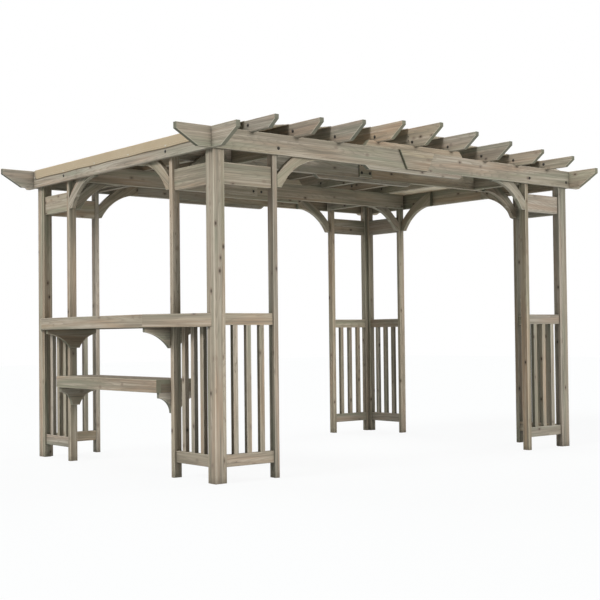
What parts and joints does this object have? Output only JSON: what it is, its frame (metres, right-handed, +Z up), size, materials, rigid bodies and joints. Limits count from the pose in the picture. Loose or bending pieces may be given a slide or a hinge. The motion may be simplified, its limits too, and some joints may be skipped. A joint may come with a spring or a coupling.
{
  "type": "wooden pergola",
  "caption": "Open timber pergola with slatted corner panels, curved knee braces, an arched rafter roof under a fabric canopy and a bar counter with a shelf on one side.",
  "frame": {"origin": "middle of the footprint at floor level", "axes": "+X along the long front from the counter side to the open side, +Y from the front to the back, +Z up"},
  "size_m": [4.1606, 3.04, 2.4486],
  "materials": {
    "timber": "weathered matt",
    "canopy_cloth": "matt woven"
  },
  "bodies": {
    "root": {"back_beam": "timber", "canopy": "canopy_cloth", "corner_post_back_left": "timber", "corner_post_back_right": "timber", "corner_post_front_left": "timber", "corner_post_front_right": "timber", "corner_ties": "timber", "counter_brackets": "timber", "counter_top": "timber", "flank_posts_back_left": "timber", "flank_posts_back_right": "timber", "flank_posts_front_left": "timber", "flank_posts_front_right": "timber", "front_beam": "timber", "inner_beam_back": "timber", "inner_beam_front": "timber", "inner_splice_plates": "timber", "key_plates": "timber", "knee_braces_back_left": "timber", "knee_braces_back_right": "timber", "knee_braces_front_left": "timber", "knee_braces_front_right": "timber", "left_beam": "timber", "long_panel_back_left": "timber", "long_panel_back_right": "timber", "long_panel_front_left": "timber", "long_panel_front_right": "timber", "lower_shelf": "timber", "outer_splice_plates": "timber", "rafter_middle": "timber", "rafter_pair_1": "timber", "rafter_pair_2": "timber", "rafter_pair_3": "timber", "rafter_pair_4": "timber", "right_beam": "timber", "shelf_brackets": "timber", "side_panel_back_left": "timber", "side_panel_back_right": "timber", "side_panel_front_left": "timber", "side_panel_front_right": "timber", "transoms_back_left": "timber", "transoms_back_right": "timber", "transoms_front_left": "timber", "transoms_front_right": "timber"}
  },
  "joints": []
}
